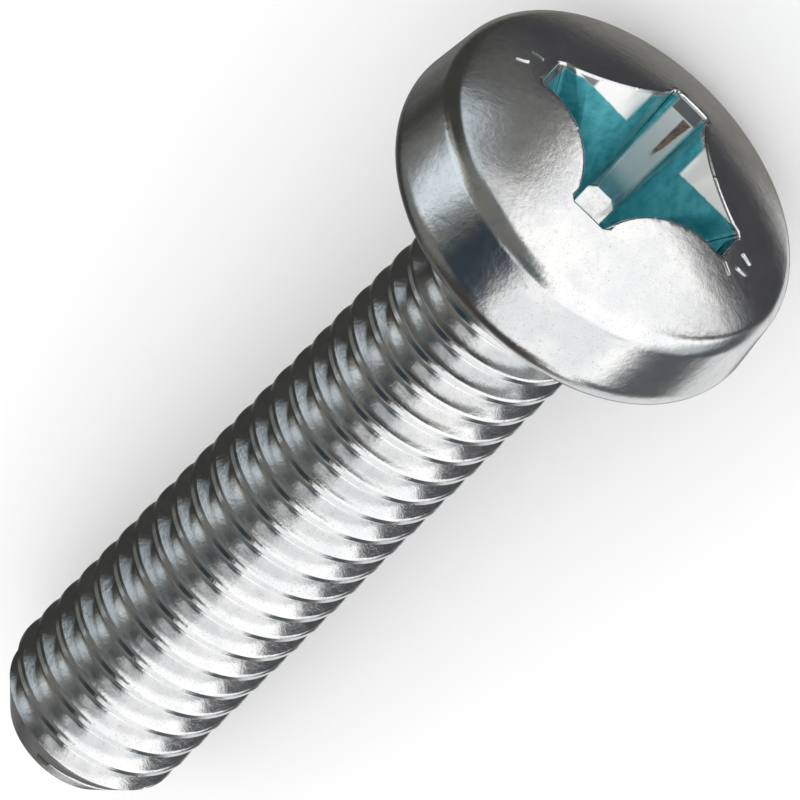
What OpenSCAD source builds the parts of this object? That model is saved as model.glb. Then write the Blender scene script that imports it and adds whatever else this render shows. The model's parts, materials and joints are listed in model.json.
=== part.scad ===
// Pan head machine screw with a cross recess, metric M6 with a coarse thread, 25 mm under the head.
// It lies on its side on the plane z = 0, touching it with the rim of the head and the end of the thread.

/* [Thread] */
// Nominal diameter
nominal_d = 6; // [5:0.5:7.5]
// How far the thread's crests lie below the nominal size, on the diameter
crest_allowance = 0.14; // [0:0.01:0.2]
// Distance from one thread crest to the next
pitch = 1; // [0.5:0.05:1.25]
// Length from the bearing face to the end of the thread
length = 25; // [10:0.5:60]
// How far the end face is cut in below the thread's core, on the radius
end_inset = 0.39; // [0.1:0.01:0.8]
// Length of the taper at the end of the thread
end_chamfer = 1.4; // [0.8:0.1:2]
// Length of the plain neck between the bearing face and the thread
neck_length = 1.2; // [0.5:0.1:2]
// Gap between the thread's crests and the start of the flat bearing face, on the radius
seat_gap = 0.05; // [0.02:0.01:0.2]

/* [Head] */
// Largest diameter of the head
head_d = 12; // [10:0.1:15]
// Height of the head at its crown
head_h = 4.6; // [4.2:0.1:6]
// Radius of the domed top
dome_r = 12.5; // [9:0.5:20]
// How far the side leans in towards the top, in degrees
side_taper = 6; // [0:0.5:10]
// Radius that rounds the bottom rim
rim_round = 1.1; // [0.3:0.1:1.4]
// Radius that rounds the edge between the side and the dome
shoulder_round = 0.7; // [0.2:0.1:0.8]

/* [Recess] */
// Distance across the tips of two opposite wings, at the surface of the dome
recess_span = 7; // [5.5:0.1:7.6]
// Depth of the wings below the dome, at their inner ends
recess_depth = 3.2; // [2:0.1:3.4]
// Width of a wing at its tip, at the surface
wing_width = 1.38; // [1:0.02:1.6]
// Width of a wing at its bottom
wing_bottom_width = 0.96; // [0.6:0.02:1]
// How much of each corner at a wing's outer end is cut off
wing_chamfer = 0.16; // [0.05:0.01:0.25]
// Lean of the wings' end walls away from the screw's axis, in degrees
wing_end_lean = 26.5; // [20:0.5:30]
// Lean of the rounded corners between the wings, in degrees
corner_lean = 25.5; // [20:0.5:28]
// Distance of those corners from the axis, at the bottom of the recess
corner_bottom = 0.6; // [0.5:0.05:0.9]
// Slope of the recess floor down to its middle, in degrees
floor_slope = 17; // [5:1:20]
// Turn of the recess about the screw's axis, in degrees
recess_turn = 1.2; // [-45:0.1:45]

/* [Hidden] */
$fn = 96;

// thread: the pitch and core diameters of a 60 degree metric thread lie these many pitches below the nominal
pitch_d_drop = 0.6495;
core_d_drop = 1.2269;
crest_r = (nominal_d - crest_allowance) / 2;
neck_r = (nominal_d - pitch_d_drop * pitch) / 2;
neck_fillet = crest_r + seat_gap - neck_r;
core_r = (nominal_d - core_d_drop * pitch) / 2;
end_r = core_r - end_inset;
neck_step = crest_r - neck_r;

// head: centres and tangent points of its rounded edges, as [radius, height]
head_r = head_d / 2;
rim_centre = [head_r - rim_round, rim_round];
dome_centre = [0, head_h - dome_r];
side_normal = [cos(side_taper), sin(side_taper)];
side_dir = [-sin(side_taper), cos(side_taper)];
side_bottom = rim_centre + rim_round * side_normal;
side_drop = side_bottom[1] / side_dir[1];
shoulder_line = side_bottom - shoulder_round * side_normal;
to_dome = shoulder_line - dome_centre;
along = to_dome * side_dir;
reach = pow(dome_r - shoulder_round, 2) - to_dome * to_dome;
shoulder_centre = shoulder_line + (sqrt(along * along + reach) - along) * side_dir;
side_top = shoulder_centre + shoulder_round * side_normal;
dome_edge = dome_centre + (shoulder_centre - dome_centre) * dome_r / (dome_r - shoulder_round);

// recess
rim_z = dome_centre[1] + sqrt(pow(dome_r, 2) - pow(recess_span / 2, 2));
recess_z = rim_z - recess_depth;
above = head_h - recess_z + 1;
wing_bottom = recess_span / 2 - recess_depth * tan(wing_end_lean);
wing_flare = (wing_width - wing_bottom_width) / 2 / recess_depth;
end_flare = tan(wing_end_lean);
chamfer_bottom = (wing_bottom + wing_bottom_width / 2 - wing_chamfer) / sqrt(2);
chamfer_flare = (end_flare + wing_flare) / sqrt(2);
roots_bottom = corner_bottom * 1.3;
roots_flare = 0.9;
post_lean = 59;
post_half_angle = post_lean - corner_lean;
post_length = 12;
post_sunk = 1;

// resting pose: the screw tips over until its rim and the end of its thread touch the plane
rest_rise = rim_centre[0] - crest_r;
rest_run = rim_centre[1] + length - end_chamfer;
rest_tilt = atan2(rest_rise, rest_run) + asin(rim_round / norm([rest_rise, rest_run]));
rest_z = (length - end_chamfer) * sin(rest_tilt) + crest_r * cos(rest_tilt);
front_x = dome_centre[1] * cos(rest_tilt) + dome_r;
back_x = -length * cos(rest_tilt) - end_r * sin(rest_tilt);
rest_x = -(front_x + back_x) / 2;

// What a rounded corner leaves over: the corner from one tangent point to the other, outside its arc
module corner_waste(centre, r, from, to) {
    outside = centre + 1.5 * (from + to - 2 * centre);
    difference() {
        polygon([centre, from, outside, to]);
        translate(centre) circle(r);
    }
}

// Half outline of the whole screw, to be spun about its axis: straight stretches, less the rounded edges
module outline() {
    difference() {
        polygon([
            [0, head_h + 1], side_bottom + side_dir * head_h, side_bottom - side_dir * side_drop,
            [neck_r + neck_fillet, 0], [neck_r, -neck_fillet],
            [neck_r, -neck_length], [crest_r, -neck_length - neck_step],
            [crest_r, end_chamfer - length], [end_r, -length], [0, -length]
        ]);
        difference() {
            translate([-1, dome_edge[1] - 1]) square([head_r + 2, head_h]);
            translate(dome_centre) circle(dome_r);
        }
        corner_waste(shoulder_centre, shoulder_round, side_top, dome_edge);
        corner_waste(rim_centre, rim_round, [rim_centre[0], 0], side_bottom);
        translate([neck_r + neck_fillet, -neck_fillet]) circle(neck_fillet);
    }
}

// A block whose two sides lean out from half width a, at the recess bottom, by flare for each mm of height
module leaning_block(a, flare, long) {
    top = a + above * flare;
    low = a - flare;
    translate([0, long, recess_z]) rotate([90, 0, 0]) linear_extrude(2 * long)
        polygon([[-low, -1], [low, -1], [top, above], [-top, above]]);
}

// One pair of opposite wings of the driver that forms the recess, with the corners of their ends cut off
module wing_pair() {
    intersection() {
        leaning_block(wing_bottom, end_flare, head_r);
        rotate([0, 0, 90]) leaning_block(wing_bottom_width / 2, wing_flare, head_r);
        rotate([0, 0, 45]) leaning_block(chamfer_bottom, chamfer_flare, head_r);
        rotate([0, 0, -45]) leaning_block(chamfer_bottom, chamfer_flare, head_r);
    }
}

// The hollow between the wings, open at the top, with a rounded post of metal left at each corner
module wing_roots() {
    difference() {
        intersection() {
            leaning_block(roots_bottom, roots_flare, head_r);
            rotate([0, 0, 90]) leaning_block(roots_bottom, roots_flare, head_r);
            leaning_block(wing_bottom, end_flare, head_r);
            rotate([0, 0, 90]) leaning_block(wing_bottom, end_flare, head_r);
        }
        for (turn = [45 : 90 : 315]) rotate([0, 0, turn]) post();
    }
}

// Cone of metal between two wings: its inner side leans by corner_lean
module post() {
    translate([corner_bottom - post_sunk * tan(corner_lean), 0, recess_z - post_sunk])
        rotate([0, post_lean, 0]) cylinder(h = post_length, r1 = 0, r2 = post_length * tan(post_half_angle));
}

// The whole space that the driver enters
module recess() {
    floor_r = above / tan(floor_slope);
    intersection() {
        rotate([0, 0, recess_turn]) {
            wing_pair();
            rotate([0, 0, 90]) wing_pair();
            wing_roots();
        }
        translate([0, 0, recess_z - wing_bottom * tan(floor_slope)])
            cylinder(h = 2 * above, r1 = 0, r2 = 2 * floor_r);
    }
}

module screw() {
    color("lightsteelblue")
        translate([rest_x, 0, rest_z]) rotate([0, 90 - rest_tilt, 0])
            difference() {
                rotate_extrude() outline();
                recess();
            }
}

screw();
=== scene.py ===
# %% [markdown]
# # A pan head machine screw with a cross recess
#
# This lesson models one steel screw, M6 with a 1 mm pitch and 25 mm long, with bright zinc plate on it.
# The screw lies on its side on a pale floor, resting on the rim of its head and on the end of its thread.
#
# A real screw starts as a length of wire. The head is forged on one end, a punch presses in the recess,
# and two grooved dies roll the thread. We work in the same order: a turned blank first, then the recess
# and the marks on the head, then the thread, and at the end the plating.
#
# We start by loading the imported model. It gives the frame, the place of the screw's axis and its size.

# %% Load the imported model
import json
import math

import bpy
from mathutils import Matrix, Vector, kdtree


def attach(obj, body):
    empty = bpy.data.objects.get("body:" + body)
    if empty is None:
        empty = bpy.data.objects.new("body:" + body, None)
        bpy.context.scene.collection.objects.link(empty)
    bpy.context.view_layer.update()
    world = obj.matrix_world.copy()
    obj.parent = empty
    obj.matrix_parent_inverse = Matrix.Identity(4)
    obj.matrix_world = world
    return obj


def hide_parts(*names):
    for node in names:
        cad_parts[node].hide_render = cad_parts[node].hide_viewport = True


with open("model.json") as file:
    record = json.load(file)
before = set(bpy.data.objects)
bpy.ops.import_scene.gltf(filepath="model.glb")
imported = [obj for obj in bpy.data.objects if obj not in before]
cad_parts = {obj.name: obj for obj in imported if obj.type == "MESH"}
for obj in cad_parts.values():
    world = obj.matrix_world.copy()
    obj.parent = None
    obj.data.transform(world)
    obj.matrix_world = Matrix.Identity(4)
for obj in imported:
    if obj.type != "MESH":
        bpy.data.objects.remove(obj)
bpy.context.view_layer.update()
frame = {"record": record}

mounts = {mount["name"]: mount for mount in frame["record"]["mounts"]}
print("mounts:", sorted(mounts))

# %% [markdown]
# ## The screw's own axes
#
# It is much easier to model a screw that stands upright, with its axis on Z and the bearing face of the
# head at z = 0. We do that in millimetres, and turn and scale the finished mesh once, at the end.
#
# The bearing face and its axis are in the record, so the place where the screw lies comes from there.
# The recess looks along the axis from the thread to the head. The other two axes follow from it.

# %% Where the screw lies
MM = 0.001
seat = Vector(mounts["bearing_face"]["pos_m"])
axis = Vector(mounts["recess"]["axis"]).normalized()
side = Vector((0, 1, 0))
top = axis.cross(side)
lying = Matrix.Translation(seat) @ Matrix((-top, side, axis)).transposed().to_4x4() @ Matrix.Scale(MM, 4)
print("the axis rises by", round(math.degrees(math.asin(axis.z)), 2), "degrees")

# %% [markdown]
# ## The camera
#
# The camera comes first, because every other choice is judged through it. It looks down on the screw from
# the side of the head, so that the domed top and the recess show, and the shank runs down to the left.
#
# A long lens far away keeps the two ends nearly the same size. The camera's own axes are written out as
# vectors: `back` points from the screw to the camera, and the screw's axis runs up to the right.

# %% Place the camera
VIEW_TURN = math.radians(52.1)      # between the screw's axis and the line to the camera
ROLL = math.radians(45.0)           # of the screw's axis in the picture
CAMERA_AWAY = 514 * MM
SEEN_WIDTH = 22.54 * MM             # how much of the scene the picture is wide, at the screw
AIM_BACK = 7.92 * MM                # from the bearing face towards the tip
SENSOR = 36.0

back = math.cos(VIEW_TURN) * axis + math.sin(VIEW_TURN) * top
along = math.sin(VIEW_TURN) * axis - math.cos(VIEW_TURN) * top
across = -side
right = math.cos(ROLL) * along + math.sin(ROLL) * across
up = math.sin(ROLL) * along - math.cos(ROLL) * across
aim = seat - AIM_BACK * axis

camera_data = bpy.data.cameras.new("camera")
camera_data.sensor_width = SENSOR
camera_data.lens = SENSOR * CAMERA_AWAY / SEEN_WIDTH
camera_data.clip_start = 0.01
camera_data.clip_end = 20
camera = bpy.data.objects.new("camera", camera_data)
bpy.context.collection.objects.link(camera)
turn = Matrix((right, up, back)).transposed().to_4x4()
camera.matrix_world = Matrix.Translation(aim + CAMERA_AWAY * back) @ turn
bpy.context.scene.camera = camera
looking_down = math.degrees(math.asin(back.z))
print("lens", round(camera_data.lens), "mm, looking down by", round(looking_down), "degrees")

# %% [markdown]
# ## Small helpers
#
# An operator acts on everything that is selected, so `only` selects exactly one thing. `draw` makes an
# outline: a plane is merged to one point, and extruding a point draws a line. `spin` turns that line round
# the Z axis, as a lathe does, and `clean` closes what was spun. `arc` works out the points of a rounding.
#
# `combine` joins, cuts or overlaps two solids with a Boolean modifier. Its Manifold solver needs closed
# meshes, and it gives a closed mesh back.

# %% Helpers for selecting, drawing and spinning
STEPS = 192          # faces round the screw


def only(piece):
    """Select one piece and make it the active one."""
    bpy.ops.object.select_all(action="DESELECT")
    piece.select_set(True)
    bpy.context.view_layer.objects.active = piece


def draw(name, points):
    """A chain of edges through these (radius, height) points, in the XZ plane."""
    bpy.ops.object.select_all(action="DESELECT")
    bpy.ops.mesh.primitive_plane_add(size=1, location=(0, 0, 0))
    piece = bpy.context.object
    piece.name = name
    bpy.ops.object.mode_set(mode="EDIT")
    bpy.ops.mesh.select_mode(type="VERT")
    bpy.ops.mesh.select_all(action="SELECT")
    bpy.ops.mesh.merge(type="CENTER")
    bpy.ops.transform.translate(value=(points[0][0], 0, points[0][1]))
    for start, end in zip(points, points[1:]):
        step = (end[0] - start[0], 0, end[1] - start[1])
        bpy.ops.mesh.extrude_region_move(TRANSFORM_OT_translate={"value": step})
    bpy.ops.object.mode_set(mode="OBJECT")
    return piece


def clean(piece, gap=0.0005):
    """Close the seam and the poles, then turn the faces outwards."""
    only(piece)
    bpy.ops.object.mode_set(mode="EDIT")
    bpy.ops.mesh.select_all(action="SELECT")
    bpy.ops.mesh.remove_doubles(threshold=gap)
    bpy.ops.mesh.normals_make_consistent(inside=False)
    bpy.ops.object.mode_set(mode="OBJECT")


def spin(name, points):
    """A turned solid: the outline spun once round the Z axis."""
    piece = draw(name, points)
    bpy.ops.object.mode_set(mode="EDIT")
    bpy.ops.mesh.select_all(action="SELECT")
    bpy.ops.mesh.spin(steps=STEPS, angle=2 * math.pi, center=(0, 0, 0), axis=(0, 0, 1))
    bpy.ops.object.mode_set(mode="OBJECT")
    clean(piece)
    return piece


def arc(centre, radius, start, end, count):
    """Points on an arc, with its angles in degrees from the outward radius."""
    angles = [math.radians(start + (end - start) * i / count) for i in range(count + 1)]
    return [(centre[0] + radius * math.cos(a), centre[1] + radius * math.sin(a)) for a in angles]


def combine(piece, tool, how):
    """Join, cut or overlap the piece with a tool, which is used up."""
    only(piece)
    step = piece.modifiers.new("combine", "BOOLEAN")
    step.operation = how
    step.solver = "MANIFOLD"
    step.object = tool
    bpy.ops.object.modifier_apply(modifier=step.name)
    bpy.data.objects.remove(tool)
    print(piece.name, how.lower(), "->", len(piece.data.polygons), "faces")


# %% [markdown]
# ## The blank
#
# The blank is the screw before its thread and recess: a shank with a chamfered end, a plain neck that
# flares into the bearing face, and the head. The side of the head leans in a little towards the top,
# its lower rim is well rounded by the forging die, and a small radius leads on to the dome.
#
# All of it is round, so one outline spun about the axis gives it. The outline runs from the middle of the
# tip to the middle of the dome, and every rounded stretch is an arc with its centre worked out here.

# %% Spin the blank
CREST_R = mounts["shank"]["dims"]["r_mm"]
NECK_R = 2.675
LENGTH = 25.0
END_R = 1.997
END_TAPER = 1.4
NECK_LENGTH = 1.2
SEAT_GAP = 0.05
HEAD_R = 6.0
HEAD_H = 4.6
DOME_R = 12.5
SIDE_TAPER = 6.0
RIM_ROUND = 1.1
SHOULDER_ROUND = 0.7

rim_centre = Vector((HEAD_R - RIM_ROUND, RIM_ROUND))
dome_centre = Vector((0, HEAD_H - DOME_R))
side_normal = Vector((math.cos(math.radians(SIDE_TAPER)), math.sin(math.radians(SIDE_TAPER))))
side_line = Vector((-side_normal.y, side_normal.x))
foot = rim_centre + (RIM_ROUND - SHOULDER_ROUND) * side_normal
to_dome = foot - dome_centre
lean = to_dome.dot(side_line)
reach = (DOME_R - SHOULDER_ROUND) ** 2 - to_dome.length_squared
shoulder_centre = foot + (math.sqrt(lean * lean + reach) - lean) * side_line
shoulder_turn = math.degrees((shoulder_centre - dome_centre).angle_signed(Vector((1, 0))))
fillet = CREST_R + SEAT_GAP - NECK_R

outline = [(0, -LENGTH), (END_R, -LENGTH), (CREST_R, END_TAPER - LENGTH)]
outline += [(CREST_R, -NECK_LENGTH - (CREST_R - NECK_R)), (NECK_R, -NECK_LENGTH)]
outline += arc((NECK_R + fillet, -fillet), fillet, 180, 90, 6)
outline += arc(rim_centre, RIM_ROUND, -90, SIDE_TAPER, 24)
outline += arc(shoulder_centre, SHOULDER_ROUND, SIDE_TAPER, shoulder_turn, 10)
outline += arc(dome_centre, DOME_R, shoulder_turn, 90, 40)[1:]
screw = spin("screw_body", outline)
print("blank:", len(screw.data.polygons), "faces, shoulder ends at", round(shoulder_turn, 1), "degrees")

# %% [markdown]
# ## The cross recess
#
# A punch with four tapered wings presses the recess in. Each wing gets narrower towards its bottom, its
# end wall leans inwards, and where two wings meet, a rounded corner of the head's metal is left standing.
# The floor is a shallow cone.
#
# We model the punch and subtract it. Its parts are blocks with leaning sides: a cube whose corners are moved
# to where the lean of the sides puts them. Exact angles make this surer than scaling the faces by eye.

# %% Sizes of the recess, and a block with leaning sides
RECESS_SPAN = 7.0
RECESS_DEPTH = 3.2
WING_WIDTH = 1.38
WING_BOTTOM_WIDTH = 0.96
WING_CHAMFER = 0.16
WING_END_LEAN = 26.5
CORNER_LEAN = 25.5
CORNER_BOTTOM = 0.6
FLOOR_SLOPE = 17.0
RECESS_TURN = 1.2
PUNCH_ABOVE = 2.0      # how far the punch stands out above the dome

recess_z = dome_centre.y + math.sqrt(DOME_R ** 2 - (RECESS_SPAN / 2) ** 2) - RECESS_DEPTH
PUNCH_BELOW = 0.8      # how far the wings are drawn below the recess floor, before it cuts them off
low_z = recess_z - PUNCH_BELOW
high_z = HEAD_H + PUNCH_ABOVE
wing_bottom = RECESS_SPAN / 2 - RECESS_DEPTH * math.tan(math.radians(WING_END_LEAN))


def tapered_block(name, x_half, x_lean, y_half, y_lean):
    """A block whose sides lean outwards; the half widths are those at the bottom of the recess."""
    bpy.ops.object.select_all(action="DESELECT")
    bpy.ops.mesh.primitive_cube_add(size=2, location=(0, 0, 0))
    piece = bpy.context.object
    piece.name = name
    for corner in piece.data.vertices:
        z = high_z if corner.co.z > 0 else low_z
        x = x_half + (z - recess_z) * math.tan(math.radians(x_lean))
        y = y_half + (z - recess_z) * math.tan(math.radians(y_lean))
        corner.co = (math.copysign(x, corner.co.x), math.copysign(y, corner.co.y), z)
    return piece


print("recess floor at", round(recess_z, 2), "mm, wings reach", round(wing_bottom, 2), "mm at the bottom")

# %% [markdown]
# The hollow between the wings is where two tapered blocks overlap. Each rounded corner of metal is part of a
# leaning cone, so four cones are taken out of the hollow.

# %% The hollow between the wings
MIDDLE_BOTTOM = 0.78
MIDDLE_LEAN = 42.0
POST_LEAN = 59.0
POST_H = 12.0
POST_SUNK = 1.0        # how far the tip of a cone lies below the recess floor
CONE_SIDES = 96
hollow = tapered_block("punch_hollow", wing_bottom, WING_END_LEAN, wing_bottom, WING_END_LEAN)
middle = tapered_block("punch_middle", MIDDLE_BOTTOM, MIDDLE_LEAN, MIDDLE_BOTTOM, MIDDLE_LEAN)
combine(hollow, middle, "INTERSECT")

post_r = POST_H * math.tan(math.radians(POST_LEAN - CORNER_LEAN))
tip = Vector((CORNER_BOTTOM - POST_SUNK * math.tan(math.radians(CORNER_LEAN)), 0, recess_z - POST_SUNK))
leaning = Matrix.Rotation(math.radians(POST_LEAN), 4, "Y")
for quarter in range(4):
    facing = math.radians(45 + 90 * quarter)
    bpy.ops.object.select_all(action="DESELECT")
    bpy.ops.mesh.primitive_cone_add(vertices=CONE_SIDES, radius1=0, radius2=post_r, depth=POST_H,
                                    location=(0, 0, 0))
    post = bpy.context.object
    post.data.transform(Matrix.Translation((0, 0, POST_H / 2)))
    post.data.transform(Matrix.Rotation(facing, 4, "Z") @ Matrix.Translation(tip) @ leaning)
    combine(hollow, post, "DIFFERENCE")

# %% [markdown]
# Two opposite wings are one block, narrow across and long. A second block, turned by 45 degrees, overlaps it
# and cuts off the corners at the wing ends, as the punch itself is ground.

# %% The wings
half_bottom = WING_BOTTOM_WIDTH / 2
side_slope = (WING_WIDTH - WING_BOTTOM_WIDTH) / 2 / RECESS_DEPTH
wing_flare = math.degrees(math.atan(side_slope))
cut_slope = (math.tan(math.radians(WING_END_LEAN)) + side_slope) / math.sqrt(2)
cut_lean = math.degrees(math.atan(cut_slope))


def wing_pair(name, turned):
    """Two opposite wings, with the corners of their ends cut off."""
    piece = tapered_block(name, wing_bottom, WING_END_LEAN, half_bottom, wing_flare)
    cut_bottom = (wing_bottom + half_bottom - WING_CHAMFER) / math.sqrt(2)
    cutter = tapered_block(name + "_cut", cut_bottom, cut_lean, cut_bottom, cut_lean)
    cutter.data.transform(Matrix.Rotation(math.radians(45), 4, "Z"))
    combine(piece, cutter, "INTERSECT")
    piece.data.transform(Matrix.Rotation(math.radians(turned), 4, "Z"))
    return piece


punch = wing_pair("punch", 0)
crossing = wing_pair("punch_crossing", 90)
combine(punch, crossing, "UNION")
combine(punch, hollow, "UNION")

# %% [markdown]
# The end of the punch is a blunt cone. Overlapping the punch with a wide cone that opens upwards shapes it.

# %% The conical floor
FLOOR_TOP = 6.0        # height of the cone, well above the dome
floor_r = FLOOR_TOP / math.tan(math.radians(FLOOR_SLOPE))
floor_tip = recess_z - wing_bottom * math.tan(math.radians(FLOOR_SLOPE))
bpy.ops.object.select_all(action="DESELECT")
bpy.ops.mesh.primitive_cone_add(vertices=CONE_SIDES, radius1=0, radius2=floor_r, depth=FLOOR_TOP,
                                location=(0, 0, floor_tip + FLOOR_TOP / 2))
floor_cone = bpy.context.object
combine(punch, floor_cone, "INTERSECT")
punch.rotation_euler.z = math.radians(RECESS_TURN)
only(punch)
bpy.ops.object.transform_apply(location=True, rotation=True, scale=True)

# %% [markdown]
# The punch is finished. One cut presses it into the head, and uses it up.

# %% Press the recess into the head
combine(screw, punch, "DIFFERENCE")

# %% [markdown]
# ## The edge of the recess
#
# The punch leaves the recess with a rolled edge at the dome. A bevel does that, but it needs room: the small
# faces of the dome next to the edge would fold over. So their corners are first merged into the edge.
#
# The edges to round are found by their place: both their ends lie on the dome, and the two faces that meet
# there make a sharp corner.

# %% Round the edge of the recess
RIM_BREAK = 0.07
SHARP = 30             # degrees between two faces
ON_DOME = 0.01         # how far from the dome a point may lie and still count as on it
CLEARED = 0.10         # corners of the dome this near to the recess edge are merged into it
crown = Vector((0, 0, dome_centre.y))


def on_dome(point):
    """Whether a point lies on the dome, at the recess or just beside it."""
    near = point.xy.length < RECESS_SPAN / 2 + 2 * CLEARED
    return near and abs((point - crown).length - DOME_R) < ON_DOME


def select_rim():
    """Select the sharp edges that lie on the dome, and return the numbers of their corners."""
    only(screw)
    bpy.ops.object.mode_set(mode="EDIT")
    bpy.ops.mesh.select_mode(type="EDGE")
    bpy.ops.mesh.select_all(action="DESELECT")
    bpy.ops.mesh.edges_select_sharp(sharpness=math.radians(SHARP))
    bpy.ops.object.mode_set(mode="OBJECT")
    corners = set()
    for edge in screw.data.edges:
        edge.select = edge.select and all(on_dome(screw.data.vertices[i].co) for i in edge.vertices)
        if edge.select:
            corners.update(edge.vertices)
    return corners


rim = select_rim()
lookup = kdtree.KDTree(len(rim))
for i in rim:
    lookup.insert(screw.data.vertices[i].co, i)
lookup.balance()
for point in screw.data.vertices:
    nearest, _, gap = lookup.find(point.co)
    if point.index not in rim and gap < CLEARED and on_dome(point.co):
        point.co = nearest
clean(screw)
print("corners on the recess edge:", len(select_rim()))
bpy.ops.object.mode_set(mode="EDIT")
bpy.ops.mesh.bevel(offset=RIM_BREAK, segments=3, affect="EDGES", clamp_overlap=False)
bpy.ops.object.mode_set(mode="OBJECT")

# %% [markdown]
# ## Plain ticks on the dome
#
# Forging dies leave a few short raised ticks on the dome, beyond the ends of two wings. Here they are
# plain bars with no meaning. Each is a bevelled cube, tipped to lie along the dome, and joined on.

# %% Add the ticks
TICK = (0.10, 0.42, 0.07)        # width, length and height
TICK_SUNK = 0.02
# place across and along, and twist in degrees
TICKS = ((-0.32, 4.28, 24), (0.22, 4.05, -12), (-0.62, -3.84, -18), (-0.14, -4.18, 30), (0.38, -4.04, 8))
for x, y, twist in TICKS:
    bpy.ops.object.select_all(action="DESELECT")
    bpy.ops.mesh.primitive_cube_add(size=1, location=(0, 0, 0))
    tick = bpy.context.object
    tick.data.transform(Matrix.Diagonal((*TICK, 1)))
    bpy.ops.object.mode_set(mode="EDIT")
    bpy.ops.mesh.select_all(action="SELECT")
    bpy.ops.mesh.bevel(offset=TICK[0] / 4, segments=2, affect="EDGES")
    bpy.ops.object.mode_set(mode="OBJECT")
    spot = Vector((x, y, dome_centre.y + math.sqrt(DOME_R ** 2 - x * x - y * y)))
    tipped = Vector((0, 0, 1)).rotation_difference(spot - crown).to_matrix().to_4x4()
    twisted = Matrix.Rotation(math.radians(twist), 4, "Z")
    sunk = Matrix.Translation((0, 0, TICK[2] / 2 - TICK_SUNK))
    tick.data.transform(Matrix.Translation(spot) @ tipped @ sunk @ twisted)
    combine(screw, tick, "UNION")

# %% [markdown]
# ## The thread
#
# A rolled thread has flanks at 60 degrees, a rounded root and narrow crests. It is a right-hand one.
# One groove shape carried round and up the shank by the Screw modifier cuts it all in one go: where the
# end of the blank is chamfered, the thread fades in by itself. At the neck the groove has to run out, so
# over half a turn it moves away from the axis, until it is clear of the shank.
#
# One fault is left in this step. The groove's tool winds on for one more turn after that, up to the bearing
# face, and its last half turn cuts a channel into the underside of the head. One turn fewer in the modifier,
# with the same start, stops it short of the head.

# %% Cut the thread
PITCH = 1.0
ROOT_R = 2.387
GROOVE_START = 0.05        # height of the groove on the +X side, apart from whole turns
RUN_OUT_FROM = -1.50
RUN_OUT_TO = -0.98
RUN_OUT_LIFT = 0.62
flank = math.tan(math.radians(30))


def groove_half(radius):
    """Half the groove's width at this radius."""
    return PITCH / 4 + (radius - NECK_R) * flank


LIP_ABOVE = 0.06           # how far the groove's tool stands out above the crests
lip = CREST_R + LIP_ABOVE
# half width and radius of the groove: rounded root, straight flank, rounded crest and lip
half = [(0, ROOT_R - 0.012), (0.05, ROOT_R), (0.09, ROOT_R + 0.03)]
half += [(groove_half(r), r) for r in (ROOT_R + 0.1, CREST_R - 0.07)]
half += [(groove_half(CREST_R - 0.03) + 0.004, CREST_R - 0.03)]
half += [(groove_half(CREST_R) + 0.03, CREST_R + 0.002)]
half += [(groove_half(CREST_R) + 0.045, lip)]
shape = [(r, -w) for w, r in reversed(half)] + [(r, w) for w, r in half[1:]]
turns = math.ceil(LENGTH) + 1
start_z = GROOVE_START - turns
groove = draw("groove", [(r, start_z + z) for r, z in shape + shape[:1]])
clean(groove)
winding = groove.modifiers.new("winding", "SCREW")
winding.axis = "Z"
winding.angle = 2 * math.pi
winding.screw_offset = PITCH
winding.iterations = turns
winding.steps = STEPS
winding.render_steps = STEPS
winding.use_merge_vertices = False
bpy.ops.object.modifier_apply(modifier=winding.name)


def on_helix(point):
    """Height of the groove's middle at this point's side of the screw."""
    around = math.atan2(point.y, point.x) / (2 * math.pi) * PITCH + GROOVE_START
    return around + round((point.z - around) / PITCH) * PITCH


for point in groove.data.vertices:
    middle_z = on_helix(point.co)
    if middle_z > RUN_OUT_FROM:
        out = min((middle_z - RUN_OUT_FROM) / (RUN_OUT_TO - RUN_OUT_FROM), 1.5)
        radius = math.hypot(point.co.x, point.co.y)
        point.co.xy = point.co.xy * (radius + RUN_OUT_LIFT * out * out) / radius
bpy.ops.object.mode_set(mode="EDIT")
bpy.ops.mesh.select_all(action="DESELECT")
bpy.ops.mesh.select_non_manifold()
bpy.ops.mesh.edge_face_add()
bpy.ops.mesh.select_all(action="SELECT")
bpy.ops.mesh.normals_make_consistent(inside=False)
bpy.ops.object.mode_set(mode="OBJECT")
print("groove:", len(groove.data.polygons), "faces")
combine(screw, groove, "DIFFERENCE")

# %% [markdown]
# ## Lay the screw down
#
# The screw is finished upright, so now it is turned, scaled to metres and set on its place in the frame.
# Its mesh takes all of that in, and the object itself stays at the origin. Smooth shading weighted by the
# area of the faces keeps the flanks of the thread flat and lets only the narrow faces beside them bend.

# %% Turn, scale and place
SMOOTH_BELOW = 28      # degrees
screw.matrix_world = lying
only(screw)
bpy.ops.object.transform_apply(location=True, rotation=True, scale=True)
bpy.ops.object.shade_smooth_by_angle(angle=math.radians(SMOOTH_BELOW))
evened = screw.modifiers.new("evened", "WEIGHTED_NORMAL")
evened.mode = "FACE_AREA"
evened.keep_sharp = True
bpy.ops.object.modifier_apply(modifier=evened.name)
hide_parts("screw")
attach(screw, "root")
print("screw size in mm:", [round(v / MM, 2) for v in screw.dimensions])
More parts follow.
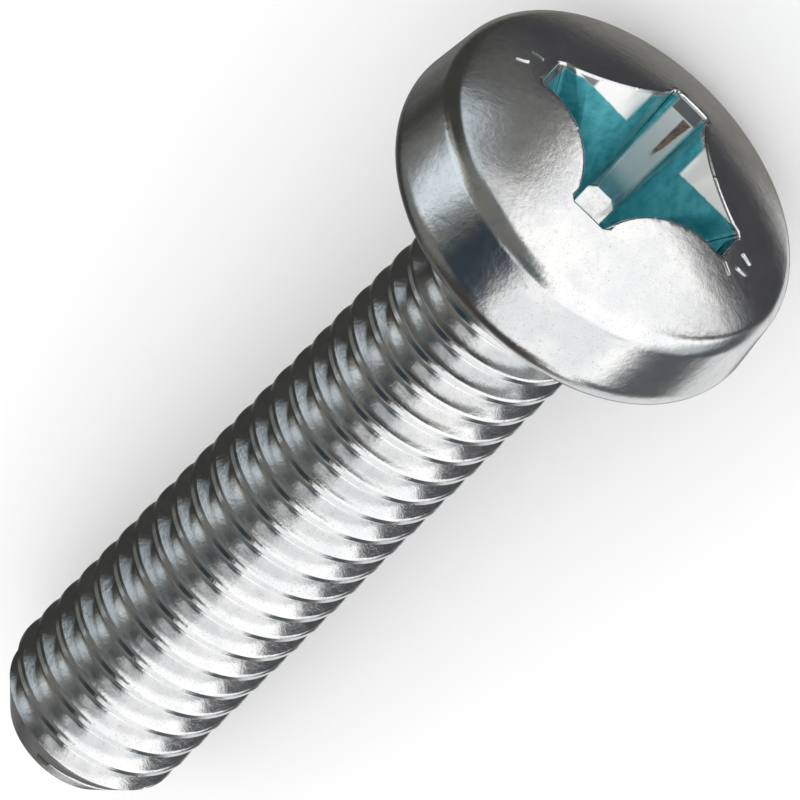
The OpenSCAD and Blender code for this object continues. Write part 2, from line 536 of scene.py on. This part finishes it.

# %% [markdown]
# ## Bright zinc with a blue passivate
#
# The plating is a mirror that has been handled: it reflects clearly, with clouds, specks and fine marks from
# tumbling in a drum with other screws. In the recess the blue passivate tints it teal, and the deeper teal
# that reflections between the walls give is painted in as well.
#
# All of it comes from nodes, which stay sharp at any distance and need no image. A node tree is easier to
# read when each step is one short call, so a few helpers add and link the nodes.

# %% Helpers for nodes
def node(tree, kind, *feeds, **settings):
    """Add a node, set it up and feed its first inputs with other nodes' outputs or with values."""
    made = tree.nodes.new("ShaderNode" + kind)
    for name, value in settings.items():
        setattr(made, name, value)
    for socket, feed in zip(made.inputs, feeds):
        if isinstance(feed, bpy.types.NodeSocket):
            tree.links.new(feed, socket)
        elif feed is not None:
            socket.default_value = feed
    return made


def mixed(tree, factor, under, over):
    """A mix of two colours, each of them given as an output or as three numbers."""
    layer = node(tree, "Mix", factor, data_type="RGBA")
    for socket, feed in ((layer.inputs[6], under), (layer.inputs[7], over)):
        if isinstance(feed, bpy.types.NodeSocket):
            tree.links.new(feed, socket)
        else:
            socket.default_value = (*feed, 1)
    return layer.outputs[2]


def ramp(tree, value, low, high, start=0.0, end=1.0):
    """Map a value from one range to another with soft ends."""
    feeds = (value, low, high, start, end)
    return node(tree, "MapRange", *feeds, interpolation_type="SMOOTHSTEP").outputs[0]


def maths(tree, how, *feeds):
    """One step of arithmetic."""
    return node(tree, "Math", *feeds, operation=how).outputs[0]


def both(tree, first, second):
    """Where two masks overlap."""
    return maths(tree, "MULTIPLY", first, second)


# %% [markdown]
# The patterns belong to the screw, so they are worked out in its own upright axes, in millimetres. A Mapping
# node that undoes the turn and the scale of the mesh gives them. Three noises then tint the metal, from
# clouds as wide as the shank down to specks.

# %% Clouds, mottling and specks
BRIGHT = (0.84, 0.845, 0.84)
CLOUDED = (0.73, 0.745, 0.76)
MOTTLED = (0.60, 0.60, 0.585)
SPECKED = (0.35, 0.34, 0.33)
plate = bpy.data.materials.new("zinc_plate")
plate.use_nodes = True
tree = plate.node_tree
shader = tree.nodes["Principled BSDF"]

place, turned, size = lying.decompose()
lain = node(tree, "TexCoord").outputs["Object"]
local = node(tree, "Mapping", lain, place, turned.to_euler(), size, vector_type="TEXTURE").outputs[0]
x, y, z = node(tree, "SeparateXYZ", local).outputs


def noise(scale, detail=3.0, rough=0.6):
    """Noise in the screw's own axes, its scale given for each millimetre."""
    return node(tree, "TexNoise", local, None, scale, detail, rough).outputs[0]


cloud = noise(0.7, 4.0)
mottle = noise(4.0, 6.0, 0.7)
speck = noise(22.0, 2.0)
colour = mixed(tree, ramp(tree, cloud, 0.35, 0.65), CLOUDED, BRIGHT)
colour = mixed(tree, ramp(tree, mottle, 0.52, 0.75, 0.0, 0.55), colour, MOTTLED)
colour = mixed(tree, ramp(tree, speck, 0.62, 0.72, 0.0, 0.75), colour, SPECKED)
print("zinc_plate:", len(tree.nodes), "nodes for the plain plating")

# %% [markdown]
# ## The recess's teal, painted highlight and painted shade
#
# The teal starts a little below the dome, with a ragged edge. It is the passivate's tint, made deeper by
# painted reflection between the walls. It is left out of the bottom of the recess, the end wall of the
# lowest wing as the screw lies, and the upper parts of the walls beside that wing. There a painted highlight
# makes the plating pale and less like a mirror.
#
# Each place is a mask: a soft step in the height, in the depth below the dome, or in the place across.

# %% Masks in the recess
TEAL_FROM = 0.20            # depth below the dome
TEAL_FULL = 0.30
FLOOR_DEPTH = 3.2
FACET_SLOPE = 0.78          # how much lower a pale facet of painted highlight starts for each millimetre towards +X
off_middle = maths(tree, "ABSOLUTE", y)
from_dome = node(tree, "VectorMath", local, (0, 0, dome_centre.y), operation="DISTANCE").outputs["Value"]
depth = maths(tree, "SUBTRACT", DOME_R, from_dome)
level = node(tree, "CombineXYZ", x, y).outputs[0]
radius = node(tree, "VectorMath", level, operation="LENGTH").outputs["Value"]
within = ramp(tree, radius, 3.52, 3.6, 1.0, 0.0)
inside = both(tree, within, ramp(tree, z, recess_z, recess_z + 0.06))
end_wall = both(tree, ramp(tree, x, 1.70, 1.85), ramp(tree, off_middle, 0.38, 0.50, 1.0, 0.0))

ragged = maths(tree, "MULTIPLY_ADD", mottle, 0.12, z)
high_up = maths(tree, "MULTIPLY_ADD", x, FACET_SLOPE, ragged)
facet = both(tree, ramp(tree, high_up, 4.74, 4.80), ramp(tree, off_middle, 1.00, 1.10))
facet = maths(tree, "MAXIMUM", facet, ramp(tree, y, 3.26, 3.30))

# Teal: the passivate's own tint, made deeper below the dome as painted reflection between the walls.
uneven = maths(tree, "MULTIPLY_ADD", mottle, 0.2, depth)
film_and_painted_reflection = both(tree, inside, ramp(tree, uneven, TEAL_FROM, TEAL_FULL))
film_and_painted_reflection = both(tree, film_and_painted_reflection, maths(tree, "MULTIPLY_ADD", end_wall, -0.85, 1.0))
film_and_painted_reflection = both(tree, film_and_painted_reflection, maths(tree, "SUBTRACT", 1.0, facet))

# Painted highlight: pale places that stand in for the white surroundings mirrored in the recess.
painted_highlight = maths(tree, "MAXIMUM", end_wall, facet)
painted_highlight = maths(tree, "MAXIMUM", painted_highlight, ramp(tree, depth, FLOOR_DEPTH, FLOOR_DEPTH + 0.1))
painted_highlight = both(tree, painted_highlight, both(tree, inside, ramp(tree, depth, 0.05, 0.09)))

# %% Teal and painted highlight
# The pale colour of the painted highlight, and the two teals.
HIGHLIGHT_PALE = (0.92, 0.92, 0.90)
TEAL_DARK = (0.04, 0.30, 0.35)
TEAL_LIGHT = (0.10, 0.44, 0.50)
teal = mixed(tree, ramp(tree, noise(2.5), 0.3, 0.7), TEAL_DARK, TEAL_LIGHT)
colour = mixed(tree, painted_highlight, colour, HIGHLIGHT_PALE)
colour = mixed(tree, film_and_painted_reflection, colour, teal)

# %% [markdown]
# The pale end wall has a brown patch on one half, a wedge that widens towards the dome. Next to the dome the
# wall is painted dark as shade, and so is one facet of a neighbouring wing. Low down, the teal that the end
# wall reflects from the other walls is painted on.

# %% Brown patch, painted shade and painted teal reflection
BROWN_DARK = (0.07, 0.04, 0.03)
BROWN_LIGHT = (0.30, 0.14, 0.06)
SHADE = (0.05, 0.05, 0.055)
WEDGE_SLOPE = 0.17
brown_patch = both(tree, ramp(tree, z, 2.30, 2.60), ramp(tree, z, 3.60, 3.64, 1.0, 0.0))
brown_patch = both(tree, brown_patch, ramp(tree, y, -0.02, -0.08))
wedge = maths(tree, "MULTIPLY_ADD", z, WEDGE_SLOPE, maths(tree, "MULTIPLY_ADD", mottle, 0.15, y))
brown_patch = both(tree, brown_patch, ramp(tree, wedge, 0.30, 0.36))
brown_patch = both(tree, brown_patch, both(tree, end_wall, ramp(tree, depth, 0.05, 0.15)))
brownish = mixed(tree, ramp(tree, mottle, 0.4, 0.6), BROWN_DARK, BROWN_LIGHT)
colour = mixed(tree, maths(tree, "MULTIPLY", brown_patch, 0.9), colour, brownish)

# Painted shade: dark on the end wall next to the dome, and on one facet of a neighbouring wing.
shaded = both(tree, ramp(tree, z, 3.64, 3.68), ramp(tree, depth, 0.08, 0.12))
shaded = both(tree, shaded, end_wall)
dark_facet = both(tree, facet, ramp(tree, y, 2.30, 2.40))
dark_facet = both(tree, dark_facet, both(tree, inside, ramp(tree, depth, 0.04, 0.10)))
shaded = maths(tree, "MAXIMUM", shaded, dark_facet)
colour = mixed(tree, maths(tree, "MULTIPLY", shaded, 0.85), colour, SHADE)

# Painted reflection: low down, the end wall is given the teal it would mirror from the other walls.
low_down = ramp(tree, z, recess_z + 0.2, recess_z + 0.9, 0.75, 0.0)
teal_reflection = both(tree, both(tree, end_wall, low_down), inside)
colour = mixed(tree, teal_reflection, colour, teal)
tree.links.new(colour, shader.inputs["Base Color"])

# %% [markdown]
# Where the teal and the painted highlight lie, less of the light is mirrored, so their painted colour shows.
# The teal is also duller, and the rolled thread is smoother than the forged head. A very low bump gives the
# faint unevenness of the plate.

# %% Mirroring, roughness and bump
BUMP_HEIGHT = 0.02 * MM
BUMP_STRENGTH = 0.35
THREAD_DULLNESS = 0.55      # of the head's
mirroring = maths(tree, "MULTIPLY_ADD", film_and_painted_reflection, -0.5, 1.0)
mirroring = maths(tree, "MULTIPLY_ADD", painted_highlight, -0.6, mirroring)
tree.links.new(mirroring, shader.inputs["Metallic"])

dull = maths(tree, "MULTIPLY_ADD", mottle, 0.22, 0.05)
dull = maths(tree, "MULTIPLY_ADD", film_and_painted_reflection, 0.25, dull)
dull = maths(tree, "MULTIPLY", dull, ramp(tree, z, -0.6, 0.0, THREAD_DULLNESS, 1.0))
tree.links.new(dull, shader.inputs["Roughness"])

height = maths(tree, "MULTIPLY_ADD", cloud, 2.0, mottle)
height = maths(tree, "MULTIPLY_ADD", speck, 0.15, height)
bump = node(tree, "Bump", BUMP_STRENGTH, BUMP_HEIGHT)
tree.links.new(height, bump.inputs["Height"])
tree.links.new(bump.outputs[0], shader.inputs["Normal"])
screw.data.materials.clear()
screw.data.materials.append(plate)
print("zinc_plate:", len(tree.nodes), "nodes in all")

# %% [markdown]
# ## Studio
#
# A pale floor and an even white surrounding light give the background. Bright plate only shows what it
# reflects, so the studio's soft boxes and dark cards matter most. They are painted on a large dome round
# the screw that only reflections can see. Each card is a soft-edged rectangle, given by its direction, and
# each one covers the cards before it in the list.

# %% Floor
bpy.ops.object.select_all(action="DESELECT")
bpy.ops.mesh.primitive_plane_add(size=6, location=(0, 0, 0))
floor = bpy.context.object
floor.name = "floor"
floor.visible_glossy = False
paper = bpy.data.materials.new("paper")
paper.use_nodes = True
paper.node_tree.nodes["Principled BSDF"].inputs["Base Color"].default_value = (0.93, 0.93, 0.93, 1)
paper.node_tree.nodes["Principled BSDF"].inputs["Roughness"].default_value = 0.9
floor.data.materials.append(paper)
print("floor:", floor.dimensions.x, "m wide")

# %% Surrounding light
world = bpy.data.worlds.new("studio")
bpy.context.scene.world = world
world.use_nodes = True
world.node_tree.nodes["Background"].inputs["Color"].default_value = (1, 1, 1, 1)
world.node_tree.nodes["Background"].inputs["Strength"].default_value = 1.2
world.cycles_visibility.glossy = False
bpy.context.scene.view_settings.view_transform = "Standard"
print("surrounding light:", world.node_tree.nodes["Background"].inputs["Strength"].default_value)

# %% Soft boxes and dark cards
DOME_SIZE = 1.5
GREY = (0.17, 0.17, 0.16)
# name, degrees away from the camera's line and round from the screw's axis, half height, half width,
# softness of the edge, colour
CARDS = [
    ("far beige", 155, 0, 24, 40, 0.6, (0.24, 0.23, 0.21)),
    ("upper dark", 100, -66, 46, 42, 0.3, (0.05, 0.05, 0.045)),
    ("beige fill", 72, -104, 20, 18, 0.6, (0.42, 0.40, 0.36)),
    ("bluish fill", 84, -118, 18, 17, 0.3, (0.84, 0.92, 0.96)),
    ("left edge dark", 142, -128, 18, 24, 0.5, (0.04, 0.04, 0.04)),
    ("lower dark", 100, -180, 40, 26, 0.4, (0.055, 0.05, 0.045)),
    ("key", 45, 90, 43, 62, 0.08, (1.27, 1.26, 1.25)),
    ("key top", 70, 10, 26, 23, 0.2, (1.22, 1.21, 1.20)),
    ("top fill", 72, -36, 18, 9, 0.3, (0.60, 0.66, 0.70)),
    ("middle dark", 52, -23, 8, 6, 0.3, (0.03, 0.055, 0.075)),
    ("line dark", 30, 178, 24, 12, 0.4, (0.09, 0.11, 0.12)),
    ("side dark", 68, -158, 17, 16, 0.25, (0.03, 0.045, 0.06)),
    ("low fill", 76, 156, 20, 27, 0.2, (1.05, 1.05, 1.05)),
    ("key fade", 92, 86, 18, 34, 0.7, (0.50, 0.54, 0.56)),
    ("key patch", 76, 124, 7, 7, 0.5, (0.60, 0.68, 0.72)),
    ("edge dark", 90, 42, 20, 8, 0.4, (0.08, 0.08, 0.09)),
    ("low mid", 108, 120, 12, 22, 0.4, (0.10, 0.11, 0.12)),
    ("dark band", 113, 84, 12, 34, 0.4, (0.09, 0.10, 0.11)),
    ("base white", 148, 95, 20, 44, 0.2, (0.80, 0.80, 0.80)),
    ("head dark", 118, 10, 20, 42, 0.35, (0.06, 0.06, 0.065)),
]
bpy.ops.object.select_all(action="DESELECT")
bpy.ops.mesh.primitive_uv_sphere_add(segments=64, ring_count=32, radius=1, location=(0, 0, 0))
dome = bpy.context.object
dome.name = "studio_dome"
bpy.ops.object.shade_smooth()
dome.matrix_world = Matrix((along, across, back)).transposed().to_4x4() @ Matrix.Scale(DOME_SIZE, 4)
dome.visible_camera = False
dome.visible_diffuse = False
dome.visible_transmission = False
dome.visible_volume_scatter = False
dome.visible_shadow = False

glow = bpy.data.materials.new("studio_cards")
glow.use_nodes = True
glow.cycles.emission_sampling = "NONE"
glow.node_tree.nodes.clear()


def card_shade(tree, unit, under, away, around, high, wide, soft, shade):
    """One soft-edged card, painted over what is under it."""
    a, b = math.radians(away), math.radians(around)
    outward = Vector((math.sin(a) * math.cos(b), math.sin(a) * math.sin(b), math.cos(a)))
    ahead = Vector((math.cos(a) * math.cos(b), math.cos(a) * math.sin(b), -math.sin(a)))
    basis = Matrix((ahead, outward.cross(ahead), outward)).transposed()
    size = (math.sin(math.radians(high)), math.sin(math.radians(wide)), 1.0)
    flat = node(tree, "Mapping", unit, outward, basis.to_euler(), size, vector_type="TEXTURE").outputs[0]
    off = node(tree, "VectorMath", flat, operation="ABSOLUTE").outputs[0]
    parts = node(tree, "SeparateXYZ", off).outputs
    edge = maths(tree, "MAXIMUM", maths(tree, "MAXIMUM", parts[0], parts[1]), parts[2])
    return mixed(tree, ramp(tree, edge, 1 - soft, 1.0, 1.0, 0.0), under, shade)


tree = glow.node_tree
unit = node(tree, "VectorMath", node(tree, "TexCoord").outputs["Object"], operation="NORMALIZE").outputs[0]
colour = GREY
for name, *card in CARDS:
    colour = card_shade(tree, unit, colour, *card)
emission = node(tree, "Emission", colour)
node(tree, "OutputMaterial", emission.outputs[0])
dome.data.materials.append(glow)
print("cards:", ", ".join(card[0] for card in CARDS))
